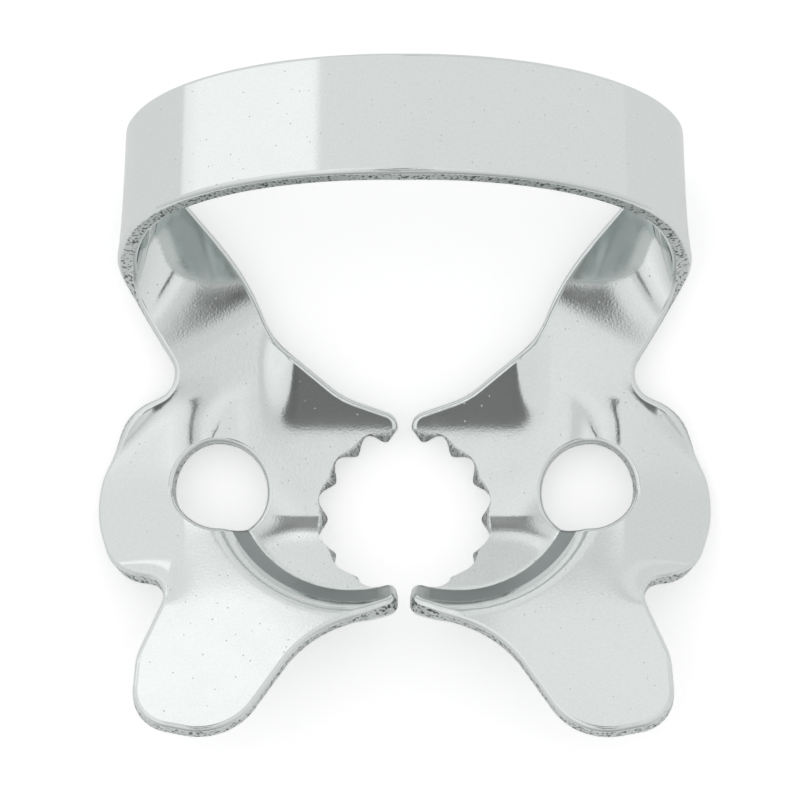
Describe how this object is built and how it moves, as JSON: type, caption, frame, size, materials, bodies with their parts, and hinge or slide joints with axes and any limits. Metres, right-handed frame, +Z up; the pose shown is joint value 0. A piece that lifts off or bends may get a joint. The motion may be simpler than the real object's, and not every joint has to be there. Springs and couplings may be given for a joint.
{
  "type": "rubber dam clamp",
  "caption": "Winged spring steel clamp with toothed jaws and a high rear bow, which grips a molar and holds a dental rubber dam.",
  "frame": {"origin": "centre of the bounding box's footprint, on the surface the clamp lies on", "axes": "+X across the clamp through both jaws, +Y towards the bow, +Z up from the surface it lies on"},
  "size_m": [0.0262, 0.0284, 0.0113],
  "materials": {
    "polished_spring_steel": "polished"
  },
  "bodies": {
    "root": {"clamp": "polished_spring_steel"}
  },
  "joints": []
}
